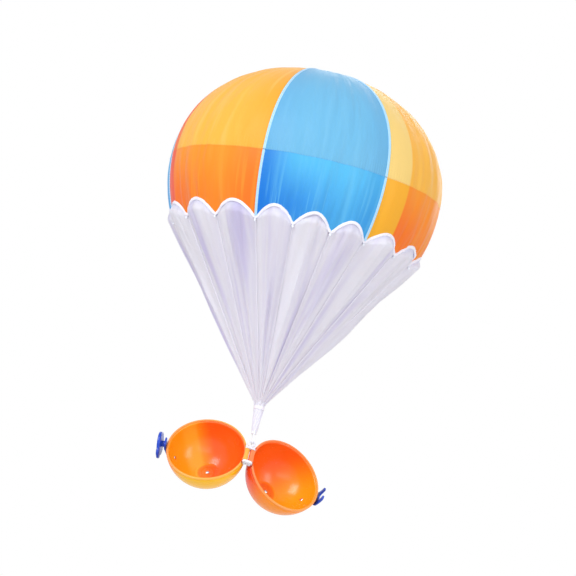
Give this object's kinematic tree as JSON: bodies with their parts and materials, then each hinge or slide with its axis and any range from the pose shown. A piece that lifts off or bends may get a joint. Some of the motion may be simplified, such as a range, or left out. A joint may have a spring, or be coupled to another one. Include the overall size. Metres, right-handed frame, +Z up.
{
  "type": "toy parachute",
  "caption": "Toy parachute with a gored canopy, a fluted white skirt with shroud lines, and a hinged split ball hanging open on a short tether.",
  "frame": {"origin": "top centre of the crown patch, the highest point of the canopy", "axes": "+Z up along the canopy's axis; -Y towards the viewer of the picture; +X to the viewer's right"},
  "size_m": [0.258, 0.2593, 0.4193],
  "materials": {
    "blue_cloth_pale": "thin woven nylon, pale blue",
    "blue_cloth": "thin woven nylon, blue",
    "yellow_cloth": "thin woven nylon, warm yellow",
    "orange_cloth": "thin woven nylon, orange",
    "white_cloth": "sheer white film cloth with a lavender cast",
    "white_cord": "fine twisted cord",
    "orange_plastic": "glossy moulded plastic",
    "blue_plastic": "glossy moulded plastic",
    "white_plastic": "satin moulded plastic",
    "steel": "plain bright"
  },
  "bodies": {
    "canopy": {"crown_patch": "blue_cloth", "gore_upper_1": "blue_cloth_pale", "gore_upper_2": "yellow_cloth", "gore_upper_3": "blue_cloth_pale", "gore_upper_4": "yellow_cloth", "gore_upper_5": "blue_cloth_pale", "gore_upper_6": "yellow_cloth", "gore_lower_1": "blue_cloth", "gore_lower_2": "orange_cloth", "gore_lower_3": "blue_cloth", "gore_lower_4": "orange_cloth", "gore_lower_5": "blue_cloth", "gore_lower_6": "orange_cloth", "hem_binding": "white_cord", "skirt_panel_1": "white_cloth", "skirt_panel_2": "white_cloth", "skirt_panel_3": "white_cloth", "skirt_panel_4": "white_cloth", "skirt_panel_5": "white_cloth", "skirt_panel_6": "white_cloth", "line_01": "white_cord", "line_02": "white_cord", "line_03": "white_cord", "line_04": "white_cord", "line_05": "white_cord", "line_06": "white_cord", "line_07": "white_cord", "line_08": "white_cord", "line_09": "white_cord", "line_10": "white_cord", "line_11": "white_cord", "line_12": "white_cord", "line_13": "white_cord", "line_14": "white_cord", "line_15": "white_cord", "line_16": "white_cord", "line_17": "white_cord", "line_18": "white_cord", "gather_knot": "white_cord"},
    "tether": {"tether": "white_cord"},
    "hinge_link": {"hinge_link_upper": "white_plastic", "hinge_link_lower": "white_plastic", "hinge_pin_left": "steel", "hinge_pin_right": "steel"},
    "half_left": {"shell_left": "orange_plastic", "strap_left": "blue_plastic", "latch_button": "blue_plastic", "rivet_left_near": "steel", "rivet_left_far": "steel"},
    "half_right": {"shell_right": "orange_plastic", "strap_right": "blue_plastic", "rivet_right_near": "steel", "rivet_right_far": "steel"}
  },
  "joints": [
    {"name": "tether_swing", "type": "hinge", "parent": "canopy", "child": "tether", "pos_m": [0, 0, -0.3308], "axis": [1, 0, 0], "range_deg": [-25, 25]},
    {"name": "ball_swing", "type": "hinge", "parent": "tether", "child": "hinge_link", "pos_m": [0, 0, -0.3578], "axis": [0, 1, 0], "range_deg": [-20, 20]},
    {"name": "half_left_hinge", "type": "hinge", "parent": "hinge_link", "child": "half_left", "pos_m": [-0.00297, -0.0102, -0.37255], "axis": [0.0279, 0.551, 0.834], "range_deg": [0, 108]},
    {"name": "half_right_hinge", "type": "hinge", "parent": "hinge_link", "child": "half_right", "pos_m": [0.00197, -0.00964, -0.37308], "axis": [-0.0279, -0.551, -0.834], "range_deg": [0, 108]}
  ]
}
